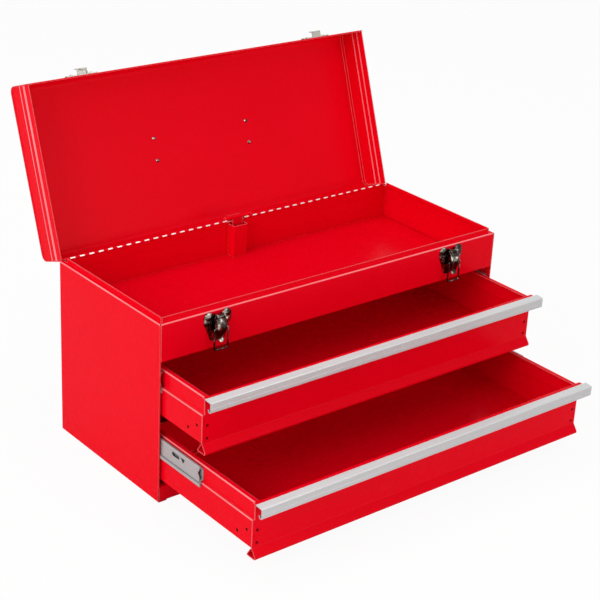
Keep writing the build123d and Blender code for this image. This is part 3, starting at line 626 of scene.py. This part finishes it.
# ---- latches ----
def loft(bm, rings):
    """Closed skin through rings of as many points each, capped at both ends."""
    rows = [[bm.verts.new(point) for point in ring] for ring in rings]
    for lower, upper in zip(rows, rows[1:]):
        for step in range(len(lower)):
            after = (step + 1) % len(lower)
            bm.faces.new((lower[step], lower[after], upper[after], upper[step]))
    bm.faces.new(rows[0][::-1])
    bm.faces.new(rows[-1])


def arc(centre, radius, start, end, steps):
    """Points of an arc in a plane, angles in degrees."""
    turns = [radians(start + (end - start) * step / steps) for step in range(steps + 1)]
    return [(centre[0] + radius * cos(turn), centre[1] + radius * sin(turn)) for turn in turns]


def inset(outline, amount):
    """The closed outline, moved inward along its normals."""
    moved = []
    for index, (x, z) in enumerate(outline):
        before = Vector(outline[index - 1])
        after = Vector(outline[(index + 1) % len(outline)])
        along = (after - before).normalized()
        moved.append((x - along.y * amount, z + along.x * amount))
    return moved


def plate_outline():
    """Outline of a latch base, anticlockwise seen from the front: two ears above a tapering shield."""
    half = [(shield_foot - shield_corner, -shield_drop), (shield_foot, -shield_drop + shield_corner)]
    half += arc((ear_shift, -ear_foot_drop), ear_radius, -35, 0, 5)
    half += arc((ear_shift, -ear_top_drop), ear_radius, 0, 165, 14)
    half += [(ear_shift - ear_radius * 1.25, -plate_dip * 1.2)]
    return half + [(-x, z) for x, z in reversed(half)]


def latch_base(side):
    """Pressed plate with bulging ears, and two round cheeks for the lever's pin."""
    low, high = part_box(f"latch_base_{side}")
    pivot = joint_place(f"lever_{side}_pivot")
    centre = (low.x + high.x) / 2
    shoulder = high.z + ear_top_drop - ear_radius
    wall = high.y
    bm = bmesh.new()

    def ring(outline, out):
        return [Vector((centre + x, wall - out, shoulder + z)) for x, z in outline]

    outline = plate_outline()
    loft(bm, [
        ring(outline, 0.0), ring(outline, latch_wall - plate_round),
        ring(inset(outline, plate_round * 0.3), latch_wall - plate_round * 0.3),
        ring(inset(outline, plate_round), latch_wall),
    ])
    wide, tall, rise = ear_bulge
    for sign in SIDES.values():
        rings = []
        for lift in (0.0, 0.35, 0.65, 0.85, 0.96):
            shrink = (1 - lift ** 2) ** 0.5
            oval = [(sign * ear_shift + x * wide * shrink, -ear_bulge_drop + z * tall * shrink)
                    for x, z in arc((0, 0), 1.0, 0, 345, 23)]
            rings.append(ring(oval, latch_wall + rise * lift))
        loft(bm, rings)
        rings = []
        for lift in (0.0, 0.5, 0.85, 0.97):
            shrink = rivet_radius * (1 - lift ** 2) ** 0.5
            head = arc((sign * ear_shift, -ear_foot_drop), shrink, 0, 330, 11)
            rings.append(ring(head, latch_wall + rivet_rise * lift))
        loft(bm, rings)
    for sign in SIDES.values():
        rings = []
        for across in (cheek_half - latch_wall, cheek_half - plate_round, cheek_half):
            radius = cheek_radius - (plate_round if across == cheek_half else 0)
            profile = arc((pivot.y, pivot.z), radius, 90, 270, 12) + [
                (wall - latch_wall / 2, pivot.z - radius * 1.8), (wall - latch_wall / 2, pivot.z + radius)]
            rings.append([Vector((centre + sign * across, y, z)) for y, z in profile])
        loft(bm, rings)
    piece = object_from(f"latch_base_{side}_pressed", bm, nickel, 30)
    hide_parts(f"latch_base_{side}")
    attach(piece, "case")


def lever_section(half, depth, groove, centre, out, height, wall):
    """Channel section of a lever at one height: sides turned back, a shallow groove down the middle."""
    corner = min(lever_round, depth * 0.8)
    outer = [(-half, depth)]
    outer += [(-half + corner - corner * cos(a), corner - corner * sin(a)) for a in (0.0, pi / 4, pi / 2)]
    outer += [(-half * 0.45, 0.0), (-half * 0.25, groove), (0.0, groove * 1.3)]
    outer += [(-x, back) for x, back in reversed(outer[:-1])]
    inner = []
    for x, back in outer:
        narrow = max(0.0, abs(x) - lever_wall) * (1 if x > 0 else -1)
        inner.append((narrow, min(back + lever_wall, depth)))
    inner[0] = (-half + lever_wall, depth)
    inner[-1] = (half - lever_wall, depth)
    return [Vector((centre + x, wall - out + back, height)) for x, back in outer + inner[::-1]]


def latch_lever(side):
    """Pressed lever: a barrel round the pin, a channel that narrows downward and a lifted tip."""
    pivot = joint_place(f"lever_{side}_pivot")
    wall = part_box(f"latch_base_{side}")[1].y
    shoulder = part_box(f"latch_base_{side}")[1].z + ear_top_drop - ear_radius
    bm = bmesh.new()
    sections = []
    for drop, out, half, depth, groove in lever_stations:
        sections.append(lever_section(
            half * MM, depth * MM, groove * lever_groove, pivot.x, out * MM, shoulder - drop * MM, wall))
    loft(bm, sections)
    barrel = []
    for across, radius in ((-1.0, 0.75), (-0.9, 1.0), (-0.3, 0.9), (0.3, 0.9), (0.9, 1.0), (1.0, 0.75)):
        barrel.append([Vector((pivot.x + across * barrel_half, y, z))
                       for y, z in arc((pivot.y, pivot.z), radius * barrel_radius, 0, 340, 17)])
    loft(bm, barrel)
    piece = object_from(f"latch_lever_{side}_pressed", bm, nickel, 35)
    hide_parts(f"latch_lever_{side}")
    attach(piece, f"lever_{side}")


def joint_place(name):
    """Where a joint's axis passes, in the rest pose."""
    return Vector(next(joint for joint in frame["joints"] if joint["name"] == name)["pos_m"])


# ---- handle ----
def handle_grip():
    """Rubber sleeve with moulded rings."""
    low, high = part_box("handle_grip")
    middle = (low + high) / 2
    radius = (high.z - low.z) / 2
    length = high.x - low.x
    pitch = (length - 2 * grip_end) / grip_rings
    profile = [(grip_bore_radius, 0.0), (radius * 0.86, 0.0), (radius, grip_end * 0.3)]
    groove = radius - grip_ring_depth
    down, floor, up = grip_ring_shares
    for ring in range(grip_rings):
        start = grip_end + pitch * ring
        profile += [(radius, start), (groove, start + pitch * down), (groove, start + pitch * floor),
                    (radius, start + pitch * up)]
    profile += [(radius, length - grip_end * 0.3), (radius * 0.86, length), (grip_bore_radius, length)]
    sleeve = lathed("handle_grip_ringed", rubber, Vector((low.x, middle.y, middle.z)), Vector((1, 0, 0)), profile)
    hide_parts("handle_grip")
    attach(sleeve, "handle")


# ---- stage ----
def stage():
    """White floor that keeps a soft shadow."""
    bm = bmesh.new()
    bmesh.ops.create_grid(bm, x_segments=1, y_segments=1, size=floor_reach)
    mesh = bpy.data.meshes.new("floor")
    bm.to_mesh(mesh)
    bm.free()
    finish = Finish("floor_white")
    seen = finish.node("ShaderNodeLightPath", output="Is Camera Ray")
    matte = finish.node("ShaderNodeBsdfDiffuse", inputs={"Color": floor_white})
    glow = finish.node("ShaderNodeEmission", inputs={"Color": (1.0, 1.0, 1.0), "Strength": 1.0})
    blend = finish.node("ShaderNodeMixShader", inputs={0: seen * floor_glow, 1: matte, 2: glow})
    finish.tree.links.new(blend.socket, finish.output.inputs["Surface"])
    mesh_object("floor", mesh, finish.material)


def world():
    """Even pale surroundings, white where the camera, gloss and glass see them."""
    sky = bpy.data.worlds.new("studio")
    bpy.context.scene.world = sky
    sky.use_nodes = True
    tree = sky.node_tree
    tree.nodes.clear()
    path = tree.nodes.new("ShaderNodeLightPath")
    seen = tree.nodes.new("ShaderNodeMath")
    seen.operation = "MAXIMUM"
    tree.links.new(path.outputs["Is Camera Ray"], seen.inputs[0])
    clear = tree.nodes.new("ShaderNodeMath")
    clear.operation = "MAXIMUM"
    tree.links.new(path.outputs["Is Glossy Ray"], clear.inputs[0])
    tree.links.new(path.outputs["Is Transmission Ray"], clear.inputs[1])
    tree.links.new(clear.outputs[0], seen.inputs[1])
    strength = tree.nodes.new("ShaderNodeMapRange")
    strength.inputs["To Min"].default_value = ambient
    strength.inputs["To Max"].default_value = surround_seen
    tree.links.new(seen.outputs[0], strength.inputs["Value"])
    light = tree.nodes.new("ShaderNodeBackground")
    light.inputs["Color"].default_value = (1.0, 1.0, 1.0, 1.0)
    tree.links.new(strength.outputs["Result"], light.inputs["Strength"])
    tree.links.new(light.outputs[0], tree.nodes.new("ShaderNodeOutputWorld").inputs[0])


def softbox(name, place, target, width, height, power):
    lamp = bpy.data.lights.new(name, "AREA")
    lamp.shape = "RECTANGLE"
    lamp.size = width
    lamp.size_y = height
    lamp.energy = power
    holder = bpy.data.objects.new(name, lamp)
    bpy.context.scene.collection.objects.link(holder)
    holder.location = place
    holder.rotation_euler = (Vector(target) - Vector(place)).to_track_quat("-Z", "Y").to_euler()


def camera():
    lens = bpy.data.cameras.new("camera")
    lens.lens = camera_lens
    lens.sensor_width = camera_sensor
    holder = bpy.data.objects.new("camera", lens)
    bpy.context.scene.collection.objects.link(holder)
    backward = Vector((
        sin(camera_azimuth) * cos(camera_elevation), -cos(camera_azimuth) * cos(camera_elevation), sin(camera_elevation)
    ))
    level = Vector((0, 0, 1)).cross(backward).normalized()
    upright = backward.cross(level)
    right = level * cos(camera_roll) + upright * sin(camera_roll)
    up = upright * cos(camera_roll) - level * sin(camera_roll)
    turn = Matrix((right, up, backward)).transposed().to_4x4()
    holder.matrix_world = Matrix.Translation(camera_place) @ turn
    bpy.context.scene.camera = holder


dress_frame()
pull_bodies()
pull_ribs()
for side in SIDES:
    latch_base(side)
    latch_lever(side)
handle_grip()
stage()
world()
for lamp in softboxes:
    softbox(*lamp)
camera()
bpy.context.scene.view_settings.view_transform = "Standard"
